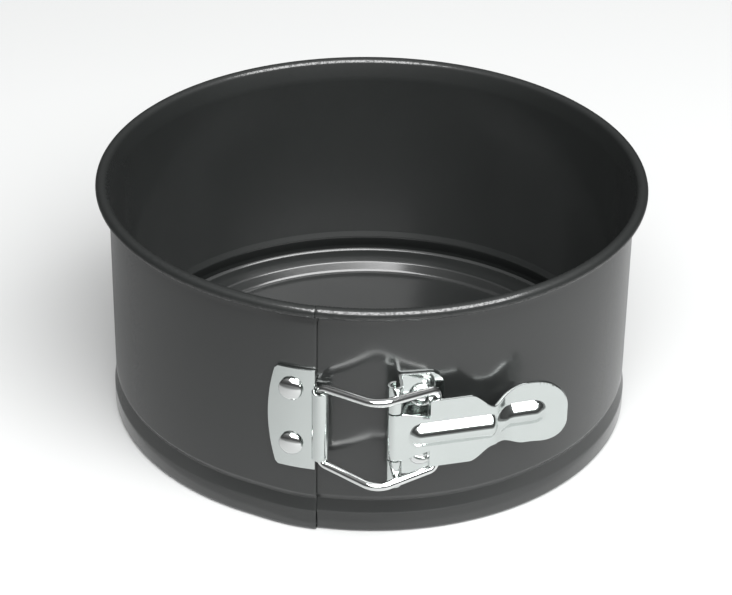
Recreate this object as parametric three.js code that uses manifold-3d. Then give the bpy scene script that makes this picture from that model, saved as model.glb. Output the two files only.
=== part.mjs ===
// Loose-bottom cake pan: a springy ring closed by a toggle latch around a stepped base.
// Millimetres, +Z up. The origin is the centre of the base's underside, a little above the ring's foot,
// and the latch is on the -Y side.

import * as THREE from 'three';
import { mergeVertices } from 'three/addons/utils/BufferGeometryUtils.js';
import Module from 'manifold-3d';

const wasm = await Module();
wasm.setup();

// Driving dimensions of the ring
const PAN_HEIGHT = 72.5;
const WALL_INNER_R = 75;
const BAND_SHEET = 0.6;
const BEAD_R = 1.7;
const BEAD_OVERHANG = 3.75;
const FLARE_HEIGHT = 6;
const RIDGE_DEPTH = 0.8;
const RIDGE_HEIGHT = 10;
const RIDGE_HALF = 2.6;
const CHANNEL_BULGE = 0.55;
const CHANNEL_WIDTH = 2;
const LIP_TOP = 5;

// Driving dimensions of the seam
const SEAM_AZ = -10.65;
const SEAM_GAP = 0.3;
const LAP_LENGTH = 3.6;
const LAP_GAP = 0.3;
const LAP_RUNOUT = 17;
const TAIL_INSET = 0.08;

// Driving dimensions of the base
const BASE_SHEET = 0.7;
const BASE_CLEARANCE = 0.4;
const BASE_RIM_WIDTH = 7.6;
const BASE_RECESS = 3.2;
const BASE_STEP_RUN = 1.6;
const BASE_EDGE_RISE = 0.7;

// Driving dimensions of the latch
const LATCH_HEIGHT = 36.5;
const PLATE_SHEET = 0.9;
const SEAT_GAP = 0.2;
const PIVOT_CLEARANCE = 0.2;
const RUN_CLEARANCE = 0.25;
const RIVET_SHANK_R = 1.5;
const RIVET_HEAD_R = 3.4;
const RIVET_DOME = 1.7;
const RIVET_TAIL_R = 2.3;
const RIVET_TAIL = 0.6;

const CATCH_AZ = -15.7;
const CATCH_LEFT_AZ = -20.8;
const CATCH_HALF = 15.8;
const CATCH_CORNER = 0.9;
const CATCH_CORNER_AZ = -18.6;
const CATCH_RIGHT_AZ = -10.8;
const CATCH_RIVET_SPACING = 17.5;
const CATCH_RIVET_RISE = 0.7;
const CATCH_KNUCKLE_AZ = -9.5;
const CATCH_KNUCKLE_HALF = 10.6;
const CURL_SWEEP = 285;

const WIRE_R = 1.2;
const BAIL_HALF_CATCH = 12.1;
const BAIL_HALF_KINK = 13.4;
const BAIL_HALF_HOOK = 12.6;
const BAIL_BEND_R = 2.2;
const BAIL_KINK_BEND_R = 6;
const BAIL_KINK_AZ = 1.5;
const BAIL_KINK_STANDOFF = 12.6;

const PIVOT_AZ = 4.85;
const PIVOT_STANDOFF = 5.8;
const PIN_R = 1;
const PIN_INSET = 2.5;
const BRACKET_RIGHT_AZ = 15.1;
const BRACKET_RIVET_AZ = 10.5;
const BRACKET_HALF = 15.9;
const BRACKET_DROP = 0.8;
const BRACKET_CORNER_R = 4;
const BRACKET_RIVET_SPACING = 18.7;
const BRACKET_BEND_R = 0.5;
const BARREL_HALF = 7.2;
const BARREL_GAP = 0.4;

const LEVER_ANGLE = 15;
const BARREL_RUN = 2.2;
const TONGUE_END = 9.3;
const TONGUE_END_HALF = 5.4;
const SHOULDER_HALF = 10.5;
const NECK_RUN = 5.5;
const NECK_HALF = 6.2;
const TAB_LENGTH = 22.6;
const TAB_HALF = 9.5;
const TAB_TIP = 10.2;
const TAB_CORNER_R = 6;
const LEVER_LENGTH = 48.6;
const TAB_DIP = 4;
const TAB_LIFT = 2.1;
const HOOK_REACH = 1.2;
const HOOK_RUN = 2.4;
const RIB_WIDTH = 7.4;
const RIB_HEIGHT = 1.9;
const RIB_START = 3.3;
const RIB_INSET = 5.3;
const RIB_TIP = 0.12;
const NECK_DROP_RUN = 4;
const NECK_DROP_SHARE = 0.66;

// Facet sizes
const BAND_STEP = 5.5;
const LAP_STEP = 2.5;
const BEAD_TURN_START = 210;
const BEAD_TURN = 330;
const BEAD_STEP = 30;
const BASE_FACETS = 66;
const CURL_STEP = 24;
const WIRE_SIDES = 10;
const ROUND_SIDES = 20;
const BULGE_STEPS = 8;
const OUTLINE_STEPS = 6;
const TAB_STEPS = 14;
const DROP_SAMPLES = 60;
const RIB_STEP = 0.9;
const RIB_RUN_STEP = 3;
const WELD = 1e-4;

// Sizes that follow from the driving dimensions
const CENTRE = new THREE.Vector2(0, 0);
const WALL_OUTER_R = WALL_INNER_R + BAND_SHEET;
const LAP_OFFSET = BAND_SHEET + LAP_GAP;
const LAP_END_AZ = SEAM_AZ - degrees(LAP_LENGTH / WALL_INNER_R);
const HALF_GAP_AZ = degrees(SEAM_GAP / 2 / WALL_INNER_R);
const BACK_AZ = SEAM_AZ + 180;
const RIM_OUTER_R = WALL_OUTER_R + BEAD_OVERHANG;
const CHANNEL_OUTER_R = WALL_OUTER_R + CHANNEL_BULGE;
const LIP_OUTER_R = CHANNEL_OUTER_R - BAND_SHEET - CHANNEL_WIDTH;
const BASE_R = WALL_INNER_R - RIDGE_DEPTH - BASE_CLEARANCE;
const BASE_RIM_LOW = LIP_TOP + SEAT_GAP;
const RIVET_HOLE_R = RIVET_SHANK_R + SEAT_GAP;
const PIN_CURL_R = PIN_R + PIVOT_CLEARANCE;
const WIRE_CURL_R = WIRE_R + RUN_CLEARANCE;
const CATCH_SEAT_R = WALL_OUTER_R + LAP_OFFSET + SEAT_GAP;
const CATCH_KNUCKLE_R = CATCH_SEAT_R + PLATE_SHEET + WIRE_CURL_R;
const BRACKET_SEAT_R = WALL_OUTER_R + SEAT_GAP;
const PIVOT_R = WALL_OUTER_R + PIVOT_STANDOFF;
const KNUCKLE = polar(CATCH_KNUCKLE_AZ, CATCH_KNUCKLE_R);
const PIVOT = polar(PIVOT_AZ, PIVOT_R);
const PIVOT_HEIGHT = LATCH_HEIGHT - BRACKET_DROP;
const CATCH_RIVET_HEIGHT = LATCH_HEIGHT + CATCH_RIVET_RISE;
const CATCH_MIDDLE = new THREE.Vector3(CENTRE.x, CENTRE.y, LATCH_HEIGHT);
const BRACKET_MIDDLE = new THREE.Vector3(CENTRE.x, CENTRE.y, PIVOT_HEIGHT);
const LEVER_MIDDLE = new THREE.Vector3(PIVOT.x, PIVOT.y, PIVOT_HEIGHT);
const NECK_START = LEVER_LENGTH - TAB_LENGTH;
const SHOULDER_END = NECK_START - NECK_RUN;
const TAB_WIDEST = LEVER_LENGTH - TAB_TIP;
const RIB_BREAK = NECK_START + NECK_DROP_RUN / 2;
const RIB_END = LEVER_LENGTH - RIB_INSET;
const HOOK_S = TONGUE_END + HOOK_RUN;
const HOOK_N = PIN_CURL_R - RUN_CLEARANCE - WIRE_R;
const HOOK = fromLever(HOOK_S, HOOK_N);

// Finishes
const coated = new THREE.MeshStandardMaterial({ color: 0x4a4d4c, roughness: 0.42, metalness: 0.6 });
const plated = new THREE.MeshStandardMaterial({ color: 0xd5d9d6, roughness: 0.3, metalness: 1 });
const bright = new THREE.MeshStandardMaterial({ color: 0xe2e4e2, roughness: 0.14, metalness: 1 });

function radians(angle) {
  return THREE.MathUtils.degToRad(angle);
}

function degrees(angle) {
  return THREE.MathUtils.radToDeg(angle);
}

// A plan point at an azimuth that is counted from -Y towards +X.
function polar(azimuth, radius) {
  const angle = radians(azimuth);
  return new THREE.Vector2(radius * Math.sin(angle), -radius * Math.cos(angle));
}

// A plan point from its distance along the lever and its offset outwards from the hinge axis.
function fromLever(along, outward) {
  const angle = radians(LEVER_ANGLE);
  const x = PIVOT.x + along * Math.cos(angle) + outward * Math.sin(angle);
  const y = PIVOT.y + along * Math.sin(angle) - outward * Math.cos(angle);
  return new THREE.Vector2(x, y);
}

// Points on a circle from one angle through a sweep, both in degrees.
function arc(centre, radius, start, sweep, step = CURL_STEP) {
  const count = Math.max(2, Math.ceil(Math.abs(sweep) / step));
  return Array.from({ length: count + 1 }, (_, i) => {
    const angle = radians(start + (sweep * i) / count);
    return new THREE.Vector2(centre.x + radius * Math.cos(angle), centre.y + radius * Math.sin(angle));
  });
}

// The closed outline of a sheet that lies to the left of a path.
function sheetOutline(path, thickness) {
  const offset = path.map((point, i) => {
    const before = path[Math.max(0, i - 1)];
    const after = path[Math.min(path.length - 1, i + 1)];
    const inTangent = point.clone().sub(before).normalize();
    const outTangent = after.clone().sub(point).normalize();
    const tangent = inTangent.clone().add(outTangent).normalize();
    const normal = new THREE.Vector2(-tangent.y, tangent.x);
    const spread = i > 0 && i < path.length - 1 ? tangent.dot(outTangent) : 1;
    return point.clone().addScaledVector(normal, thickness / spread);
  });
  return [...path, ...offset.reverse()];
}

// A closed geometry as a solid whose faces point outwards.
function solidOf(geometry) {
  const bare = geometry.clone();
  bare.deleteAttribute('normal');
  bare.deleteAttribute('uv');
  const merged = mergeVertices(bare, WELD);
  const vertProperties = new Float32Array(merged.attributes.position.array);
  const triVerts = new Uint32Array(merged.index.array);
  const solid = new wasm.Manifold(new wasm.Mesh({ numProp: 3, vertProperties, triVerts }));
  if (solid.volume() > 0) {
    return solid;
  }
  return new wasm.Manifold(new wasm.Mesh({ numProp: 3, vertProperties, triVerts: triVerts.reverse() }));
}

function meshOf(name, solid, material) {
  const { vertProperties, triVerts } = solid.getMesh();
  const geometry = new THREE.BufferGeometry();
  geometry.setAttribute('position', new THREE.BufferAttribute(new Float32Array(vertProperties), 3));
  geometry.setIndex(new THREE.BufferAttribute(new Uint32Array(triVerts), 1));
  geometry.computeVertexNormals();
  const mesh = new THREE.Mesh(geometry, material);
  mesh.name = name;
  return mesh;
}

// A plan outline raised between two heights.
function prism(outline, low, high) {
  const geometry = new THREE.ExtrudeGeometry(new THREE.Shape(outline), {
    depth: high - low,
    bevelEnabled: false,
  });
  return solidOf(geometry.translate(0, 0, low));
}

// A front outline, given across and up from a piece's middle, pushed outwards through the latch.
function frontPrism(outline, middle, azimuth, near, far) {
  const geometry = new THREE.ExtrudeGeometry(new THREE.Shape(outline), {
    depth: far - near,
    bevelEnabled: false,
  });
  geometry.rotateX(Math.PI / 2);
  geometry.translate(0, -near, 0);
  geometry.rotateZ(radians(azimuth));
  return solidOf(geometry.translate(middle.x, middle.y, middle.z));
}

// A solid through matching closed sections, either capped at both ends or closed into a loop.
function loft(sections, capOutline) {
  const count = sections[0].length;
  const positions = sections.flat().flatMap((point) => [point.x, point.y, point.z]);
  const index = [];
  const rows = capOutline ? sections.length - 1 : sections.length;
  for (let row = 0; row < rows; row += 1) {
    const here = row * count;
    const next = ((row + 1) % sections.length) * count;
    for (let i = 0; i < count; i += 1) {
      const j = (i + 1) % count;
      index.push(here + i, next + i, next + j, here + i, next + j, here + j);
    }
  }
  if (capOutline) {
    const last = (sections.length - 1) * count;
    for (const [a, b, c] of THREE.ShapeUtils.triangulateShape(capOutline, [])) {
      index.push(a, b, c, last + c, last + b, last + a);
    }
  }
  const geometry = new THREE.BufferGeometry();
  geometry.setAttribute('position', new THREE.Float32BufferAttribute(positions, 3));
  geometry.setIndex(index);
  return solidOf(geometry);
}

// A profile in radius and height carried round from one azimuth to another, with a radial shift on the way.
function ringPart(profile, azimuths, shift) {
  const sections = azimuths.map((azimuth) =>
    profile.map((point) => {
      const plan = polar(azimuth, point.x + shift(azimuth));
      return new THREE.Vector3(plan.x, plan.y, point.y);
    }),
  );
  return loft(sections, profile);
}

function steps(from, to, size) {
  const count = Math.max(1, Math.ceil(Math.abs(to - from) / size));
  return Array.from({ length: count + 1 }, (_, i) => from + ((to - from) * i) / count);
}

// How far the outer layer of the seam stands off the nominal ring.
function lapShift(azimuth) {
  const run = degrees(LAP_RUNOUT / WALL_INNER_R);
  const share = THREE.MathUtils.smoothstep(LAP_END_AZ - azimuth, 0, run);
  return LAP_OFFSET * (1 - share);
}

// A round piece about an outward axis at an azimuth and a height, from profile points of radius and reach.
function turnedOutward(profile, azimuth, height, sides = ROUND_SIDES) {
  const geometry = new THREE.LatheGeometry(profile, sides);
  geometry.rotateX(Math.PI);
  geometry.rotateZ(radians(azimuth));
  geometry.translate(0, 0, height);
  return solidOf(geometry);
}

function rod(radius, centre, low, high) {
  const geometry = new THREE.CylinderGeometry(radius, radius, high - low, ROUND_SIDES);
  geometry.rotateX(Math.PI / 2);
  geometry.translate(centre.x, centre.y, (low + high) / 2);
  return solidOf(geometry);
}

function rivetHole(azimuth, height) {
  const inner = WALL_INNER_R - LAP_OFFSET;
  const outer = WALL_OUTER_R + PIVOT_STANDOFF;
  const profile = [
    new THREE.Vector2(0, inner),
    new THREE.Vector2(RIVET_HOLE_R, inner),
    new THREE.Vector2(RIVET_HOLE_R, outer),
    new THREE.Vector2(0, outer),
  ];
  return turnedOutward(profile, azimuth, height);
}

function drill(solid, azimuth, middle, spacing) {
  return [-0.5, 0.5].reduce(
    (rest, side) => rest.subtract(rivetHole(azimuth, middle + side * spacing)),
    solid,
  );
}

// Ring

// The section of the ring's sheet in radius and height, from the channel's lip up to the rim and back.
function bandProfile() {
  const lipInner = LIP_OUTER_R - BAND_SHEET;
  const channelInner = CHANNEL_OUTER_R - BAND_SHEET;
  const channelTop = LIP_TOP + BAND_SHEET;
  const ridgeInner = WALL_INNER_R - RIDGE_DEPTH;
  const ridgeTop = RIDGE_HEIGHT + RIDGE_HALF;
  const flareStart = PAN_HEIGHT - FLARE_HEIGHT;
  const bead = new THREE.Vector2(RIM_OUTER_R - BEAD_R, PAN_HEIGHT - BEAD_R);
  const outerFace = [
    new THREE.Vector2(lipInner, LIP_TOP),
    new THREE.Vector2(lipInner, 0),
    new THREE.Vector2(CHANNEL_OUTER_R, 0),
    new THREE.Vector2(CHANNEL_OUTER_R, channelTop),
    new THREE.Vector2(ridgeInner + BAND_SHEET, RIDGE_HEIGHT),
    new THREE.Vector2(WALL_OUTER_R, ridgeTop),
    new THREE.Vector2(WALL_OUTER_R, flareStart),
  ];
  const roll = arc(bead, BEAD_R, BEAD_TURN_START, BEAD_TURN, BEAD_STEP);
  const innerFace = [
    new THREE.Vector2(bead.x - BEAD_R - BAND_SHEET / 2, bead.y - BEAD_R),
    new THREE.Vector2(WALL_INNER_R, flareStart),
    new THREE.Vector2(WALL_INNER_R, ridgeTop),
    new THREE.Vector2(ridgeInner, RIDGE_HEIGHT),
    new THREE.Vector2(channelInner, channelTop),
    new THREE.Vector2(channelInner, BAND_SHEET),
    new THREE.Vector2(LIP_OUTER_R, BAND_SHEET),
    new THREE.Vector2(LIP_OUTER_R, LIP_TOP),
  ];
  return [...outerFace, ...roll, ...innerFace];
}

function bandLeft() {
  const runoutEnd = LAP_END_AZ - degrees(LAP_RUNOUT / WALL_INNER_R);
  const azimuths = [
    ...steps(SEAM_AZ - HALF_GAP_AZ, runoutEnd, LAP_STEP),
    ...steps(runoutEnd, BACK_AZ - 360 + HALF_GAP_AZ, BAND_STEP).slice(1),
  ];
  const wall = ringPart(bandProfile(), azimuths, lapShift);
  return drill(wall, CATCH_AZ, CATCH_RIVET_HEIGHT, CATCH_RIVET_SPACING);
}

function bandRight() {
  const still = () => 0;
  const start = SEAM_AZ + HALF_GAP_AZ;
  const wall = ringPart(bandProfile(), steps(start, BACK_AZ - HALF_GAP_AZ, BAND_STEP), still);
  const low = RIDGE_HEIGHT + RIDGE_HALF + BAND_SHEET;
  const high = PAN_HEIGHT - FLARE_HEIGHT - BAND_SHEET;
  const tailOutline = [
    new THREE.Vector2(WALL_INNER_R + TAIL_INSET, low),
    new THREE.Vector2(WALL_OUTER_R - 2 * TAIL_INSET, low),
    new THREE.Vector2(WALL_OUTER_R - 2 * TAIL_INSET, high),
    new THREE.Vector2(WALL_INNER_R + TAIL_INSET, high),
  ];
  const buried = degrees(BAND_SHEET / WALL_INNER_R);
  const tail = ringPart(tailOutline, steps(LAP_END_AZ, start + buried, LAP_STEP), still);
  return drill(wall.add(tail), BRACKET_RIVET_AZ, PIVOT_HEIGHT, BRACKET_RIVET_SPACING);
}

// Base

function basePlate() {
  const rimHigh = BASE_RIM_LOW + BASE_SHEET;
  const stepOuter = BASE_R - BASE_RIM_WIDTH;
  const stepInner = stepOuter - BASE_STEP_RUN;
  const profile = [
    new THREE.Vector2(0, BASE_RIM_LOW - BASE_RECESS),
    new THREE.Vector2(stepInner, BASE_RIM_LOW - BASE_RECESS),
    new THREE.Vector2(stepOuter, BASE_RIM_LOW),
    new THREE.Vector2(BASE_R, BASE_RIM_LOW),
    new THREE.Vector2(BASE_R, rimHigh + BASE_EDGE_RISE),
    new THREE.Vector2(BASE_R - BASE_SHEET, rimHigh + BASE_EDGE_RISE),
    new THREE.Vector2(BASE_R - 2 * BASE_SHEET, rimHigh),
    new THREE.Vector2(stepOuter - BASE_SHEET, rimHigh),
    new THREE.Vector2(stepInner - BASE_SHEET, rimHigh - BASE_RECESS),
    new THREE.Vector2(0, rimHigh - BASE_RECESS),
  ];
  const geometry = new THREE.LatheGeometry(profile, BASE_FACETS);
  return solidOf(geometry.rotateX(Math.PI / 2));
}

// Catch plate and its rivets

function catchPlate() {
  const faceR = (azimuth) => WALL_OUTER_R + lapShift(azimuth) + SEAT_GAP + PLATE_SHEET;
  const azimuths = steps(CATCH_LEFT_AZ, CATCH_KNUCKLE_AZ, LAP_STEP / 2);
  const face = azimuths.map((azimuth) => polar(azimuth, faceR(azimuth)));
  const curl = arc(KNUCKLE, WIRE_CURL_R, CATCH_KNUCKLE_AZ + 90, -CURL_SWEEP);
  const plan = prism(
    sheetOutline([...face, ...curl.slice(1)], PLATE_SHEET),
    LATCH_HEIGHT - CATCH_HALF,
    LATCH_HEIGHT + CATCH_HALF,
  );
  const across = (azimuth) => CATCH_SEAT_R * Math.sin(radians(azimuth - CATCH_AZ));
  const left = across(CATCH_LEFT_AZ);
  const corner = across(CATCH_CORNER_AZ);
  const right = across(CATCH_RIGHT_AZ);
  const past = across(CATCH_KNUCKLE_AZ) + 2 * (WIRE_CURL_R + PLATE_SHEET);
  const bulge = new THREE.QuadraticBezierCurve(
    new THREE.Vector2(corner - CATCH_CORNER, CATCH_HALF - CATCH_CORNER),
    new THREE.Vector2(2 * left - corner + CATCH_CORNER, 0),
    new THREE.Vector2(corner - CATCH_CORNER, CATCH_CORNER - CATCH_HALF),
  );
  const front = [
    new THREE.Vector2(right, CATCH_HALF),
    new THREE.Vector2(corner, CATCH_HALF),
    ...bulge.getPoints(BULGE_STEPS),
    new THREE.Vector2(corner, -CATCH_HALF),
    new THREE.Vector2(right, -CATCH_HALF),
    new THREE.Vector2(right, -CATCH_KNUCKLE_HALF),
    new THREE.Vector2(past, -CATCH_KNUCKLE_HALF),
    new THREE.Vector2(past, CATCH_KNUCKLE_HALF),
    new THREE.Vector2(right, CATCH_KNUCKLE_HALF),
  ];
  const window = frontPrism(front, CATCH_MIDDLE, CATCH_AZ, WALL_INNER_R, 2 * PIVOT_R - WALL_INNER_R);
  return drill(plan.intersect(window), CATCH_AZ, CATCH_RIVET_HEIGHT, CATCH_RIVET_SPACING);
}

// A rivet with a domed head on its plate and a flat tail inside the wall.
function rivet(azimuth, height, shift) {
  const inner = WALL_INNER_R + shift - SEAT_GAP;
  const seat = WALL_OUTER_R + shift + SEAT_GAP + PLATE_SHEET + SEAT_GAP;
  const dome = steps(0, 90, CURL_STEP).map((angle) => {
    const across = RIVET_HEAD_R * Math.cos(radians(angle));
    return new THREE.Vector2(angle < 90 ? across : 0, seat + RIVET_DOME * Math.sin(radians(angle)));
  });
  const profile = [
    new THREE.Vector2(0, inner - RIVET_TAIL),
    new THREE.Vector2(RIVET_TAIL_R, inner - RIVET_TAIL),
    new THREE.Vector2(RIVET_TAIL_R, inner),
    new THREE.Vector2(RIVET_SHANK_R, inner),
    new THREE.Vector2(RIVET_SHANK_R, seat),
    ...dome,
  ];
  return turnedOutward(profile, azimuth, height);
}

// Wire bail

// A closed route with its corners rounded, each corner given as a point and a bend radius.
function roundedLoop(corners) {
  return corners.flatMap(({ point, bend }, i) => {
    const before = corners.at(i - 1).point;
    const after = corners[(i + 1) % corners.length].point;
    const back = before.clone().sub(point).normalize();
    const ahead = after.clone().sub(point).normalize();
    const half = back.angleTo(ahead) / 2;
    const reach = bend / Math.tan(half);
    const middle = back.clone().add(ahead).normalize();
    const centre = point.clone().addScaledVector(middle, bend / Math.sin(half));
    const from = point.clone().addScaledVector(back, reach).sub(centre);
    const to = point.clone().addScaledVector(ahead, reach).sub(centre);
    const sweep = from.angleTo(to);
    return steps(0, 1, radians(CURL_STEP) / sweep).map((share) => {
      const a = Math.sin((1 - share) * sweep) / Math.sin(sweep);
      const b = Math.sin(share * sweep) / Math.sin(sweep);
      return centre.clone().addScaledVector(from, a).addScaledVector(to, b);
    });
  });
}

function wireBail() {
  const kink = polar(BAIL_KINK_AZ, WALL_OUTER_R + BAIL_KINK_STANDOFF);
  const kinkHeight = LATCH_HEIGHT - BRACKET_DROP / 2;
  const at = (plan, height) => new THREE.Vector3(plan.x, plan.y, height);
  const route = roundedLoop([
    { point: at(KNUCKLE, LATCH_HEIGHT - BAIL_HALF_CATCH), bend: BAIL_BEND_R },
    { point: at(KNUCKLE, LATCH_HEIGHT + BAIL_HALF_CATCH), bend: BAIL_BEND_R },
    { point: at(kink, kinkHeight + BAIL_HALF_KINK), bend: BAIL_KINK_BEND_R },
    { point: at(HOOK, PIVOT_HEIGHT + BAIL_HALF_HOOK), bend: BAIL_BEND_R },
    { point: at(HOOK, PIVOT_HEIGHT - BAIL_HALF_HOOK), bend: BAIL_BEND_R },
    { point: at(kink, kinkHeight - BAIL_HALF_KINK), bend: BAIL_KINK_BEND_R },
  ]);
  const outward = new THREE.Vector3(0, -1, 0);
  const sections = route.map((point, i) => {
    const before = route.at(i - 1);
    const after = route[(i + 1) % route.length];
    const inTangent = point.clone().sub(before).normalize();
    const tangent = after.clone().sub(point).normalize().add(inTangent).normalize();
    const side = outward.clone().addScaledVector(tangent, -outward.dot(tangent)).normalize();
    const up = tangent.clone().cross(side);
    return Array.from({ length: WIRE_SIDES }, (_, k) => {
      const angle = (2 * Math.PI * k) / WIRE_SIDES;
      const spread = side.clone().multiplyScalar(Math.cos(angle)).addScaledVector(up, Math.sin(angle));
      return point.clone().addScaledVector(spread, WIRE_R);
    });
  });
  return loft(sections);
}

// Pivot bracket and hinge pin

function pivotBracket() {
  const outerBend = PLATE_SHEET + BRACKET_BEND_R;
  const bendX = PIN_CURL_R + outerBend;
  const bendR = BRACKET_SEAT_R + outerBend;
  const bendAz = degrees(Math.asin(bendX / bendR));
  const bendCentre = polar(bendAz, bendR);
  const right = BRACKET_RIGHT_AZ - PIVOT_AZ;
  const seat = steps(right, bendAz, LAP_STEP).map((azimuth) => polar(azimuth, BRACKET_SEAT_R));
  const bend = arc(bendCentre, outerBend, 90 + bendAz, 90 - bendAz);
  const curl = arc(new THREE.Vector2(0, -PIVOT_R), PIN_CURL_R, 0, -CURL_SWEEP);
  const path = [...seat, ...bend.slice(1), ...curl];
  const turn = radians(PIVOT_AZ);
  const turned = sheetOutline(path, PLATE_SHEET).map((point) => point.rotateAround(CENTRE, turn));
  const plan = prism(turned, PIVOT_HEIGHT - BRACKET_HALF, PIVOT_HEIGHT + BRACKET_HALF);
  const rightX = BRACKET_SEAT_R * Math.sin(radians(right));
  const leftX = -2 * (PIN_CURL_R + PLATE_SHEET);
  const cornerX = rightX - BRACKET_CORNER_R;
  const cornerZ = BRACKET_HALF - BRACKET_CORNER_R;
  const front = [
    new THREE.Vector2(leftX, -BRACKET_HALF),
    ...arc(new THREE.Vector2(cornerX, -cornerZ), BRACKET_CORNER_R, -90, 90),
    ...arc(new THREE.Vector2(cornerX, cornerZ), BRACKET_CORNER_R, 0, 90),
    new THREE.Vector2(leftX, BRACKET_HALF),
  ];
  const slotHalf = BARREL_HALF + BARREL_GAP;
  const slot = [
    new THREE.Vector2(leftX, -slotHalf),
    new THREE.Vector2(bendX, -slotHalf),
    new THREE.Vector2(bendX, slotHalf),
    new THREE.Vector2(leftX, slotHalf),
  ];
  const far = PIVOT_R + 2 * (PIN_CURL_R + PLATE_SHEET);
  const window = frontPrism(front, BRACKET_MIDDLE, PIVOT_AZ, WALL_INNER_R, far);
  const gap = frontPrism(slot, BRACKET_MIDDLE, PIVOT_AZ, WALL_INNER_R - BAND_SHEET, far + BAND_SHEET);
  const plate = plan.intersect(window).subtract(gap);
  return drill(plate, BRACKET_RIVET_AZ, PIVOT_HEIGHT, BRACKET_RIVET_SPACING);
}

function hingePin() {
  const half = BRACKET_HALF - PIN_INSET;
  return rod(PIN_R, PIVOT, PIVOT_HEIGHT - half, PIVOT_HEIGHT + half);
}

// Lever

// The lever's back face in plan past the neck, as distance along the lever and drop towards the wall.
const tabCurve = new THREE.SplineCurve([
  new THREE.Vector2(NECK_START, 0),
  new THREE.Vector2(NECK_START + NECK_DROP_RUN, -TAB_DIP * NECK_DROP_SHARE),
  new THREE.Vector2(TAB_WIDEST - NECK_DROP_RUN, -TAB_DIP),
  new THREE.Vector2(TAB_WIDEST, -TAB_DIP),
  new THREE.Vector2(LEVER_LENGTH, TAB_LIFT - TAB_DIP),
]);

function leverOutline() {
  const upper = new THREE.Path();
  upper.moveTo(-2 * BARREL_RUN, BARREL_HALF);
  upper.lineTo(BARREL_RUN, BARREL_HALF);
  upper.lineTo(TONGUE_END, TONGUE_END_HALF);
  upper.lineTo(TONGUE_END, SHOULDER_HALF);
  upper.lineTo(SHOULDER_END, SHOULDER_HALF);
  const blend = (NECK_START - SHOULDER_END) / 2;
  upper.bezierCurveTo(
    SHOULDER_END + blend,
    SHOULDER_HALF,
    NECK_START - blend,
    NECK_HALF,
    RIB_BREAK,
    NECK_HALF,
  );
  const swell = (TAB_WIDEST - RIB_BREAK) / 2;
  upper.bezierCurveTo(
    RIB_BREAK + swell / 2,
    NECK_HALF,
    TAB_WIDEST - swell,
    TAB_HALF,
    TAB_WIDEST,
    TAB_HALF,
  );
  upper.lineTo(LEVER_LENGTH - TAB_CORNER_R, TAB_HALF);
  upper.absarc(LEVER_LENGTH - TAB_CORNER_R, TAB_HALF - TAB_CORNER_R, TAB_CORNER_R, Math.PI / 2, 0, true);
  const points = upper.getPoints(OUTLINE_STEPS);
  const mirrored = points.map((point) => new THREE.Vector2(point.x, -point.y)).reverse();
  return [...points, ...mirrored];
}

// A pressed rib with round ends on the front face, along lever points of distance and drop.
function rib(points) {
  const half = RIB_WIDTH / 2;
  const first = points[0].x;
  const last = points.at(-1).x;
  const bury = PLATE_SHEET / 3;
  const profile = steps(0, 180, CURL_STEP).map((angle) => {
    return new THREE.Vector2(half * Math.cos(radians(angle)), RIB_HEIGHT * Math.sin(radians(angle)));
  });
  const sections = points.map(({ x, y }) => {
    const ending = Math.min(x - first, last - x, half);
    const share = Math.max(RIB_TIP, Math.sqrt(1 - (1 - ending / half) ** 2));
    return profile.map((point) => {
      const plan = fromLever(x, PIN_CURL_R + PLATE_SHEET + y - bury + point.y * share);
      return new THREE.Vector3(plan.x, plan.y, PIVOT_HEIGHT + point.x * share);
    });
  });
  return loft(sections, profile);
}

// Distances along the lever where a rib's section is set, closer together at its round ends.
function ribStations(from, to) {
  const half = RIB_WIDTH / 2;
  return [
    ...steps(from, from + half, RIB_STEP),
    ...steps(from + half, to - half, RIB_RUN_STEP).slice(1, -1),
    ...steps(to - half, to, RIB_STEP),
  ];
}

// How far the lever's face has dropped towards the wall at a distance along it.
function tabDrop(along) {
  const samples = tabCurve.getPoints(DROP_SAMPLES);
  const after = samples.findIndex((point) => point.x >= along);
  if (after < 1) {
    return 0;
  }
  const low = samples[after - 1];
  const high = samples[after];
  return THREE.MathUtils.mapLinear(along, low.x, high.x, low.y, high.y);
}

function lever() {
  const backFace = tabCurve.getPoints(TAB_STEPS).reverse();
  const face = backFace.map((point) => fromLever(point.x, PIN_CURL_R + point.y));
  const curl = arc(PIVOT, PIN_CURL_R, LEVER_ANGLE - 90, -CURL_SWEEP);
  const plan = prism(
    sheetOutline([...face, ...curl], PLATE_SHEET),
    PIVOT_HEIGHT - SHOULDER_HALF - PLATE_SHEET,
    PIVOT_HEIGHT + SHOULDER_HALF + PLATE_SHEET,
  );
  const reach = TAB_DIP + 2 * (PIN_CURL_R + PLATE_SHEET);
  const blank = plan.intersect(frontPrism(leverOutline(), LEVER_MIDDLE, LEVER_ANGLE, -reach, reach));
  const tabs = [-1, 1].map((side) => {
    const inner = side * TONGUE_END_HALF;
    const outer = side * SHOULDER_HALF;
    const outline = [
      new THREE.Vector2(TONGUE_END, inner),
      new THREE.Vector2(TONGUE_END + PLATE_SHEET, inner),
      new THREE.Vector2(TONGUE_END + PLATE_SHEET, outer),
      new THREE.Vector2(TONGUE_END, outer),
    ];
    const near = PIN_CURL_R - HOOK_REACH;
    return frontPrism(outline, LEVER_MIDDLE, LEVER_ANGLE, near, PIN_CURL_R + PLATE_SHEET / 2);
  });
  const ribs = [
    [RIB_START, RIB_BREAK],
    [RIB_BREAK, RIB_END],
  ].map(([from, to]) => rib(ribStations(from, to).map((x) => new THREE.Vector2(x, tabDrop(x)))));
  return [...tabs, ...ribs].reduce((whole, piece) => whole.add(piece), blank);
}

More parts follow.
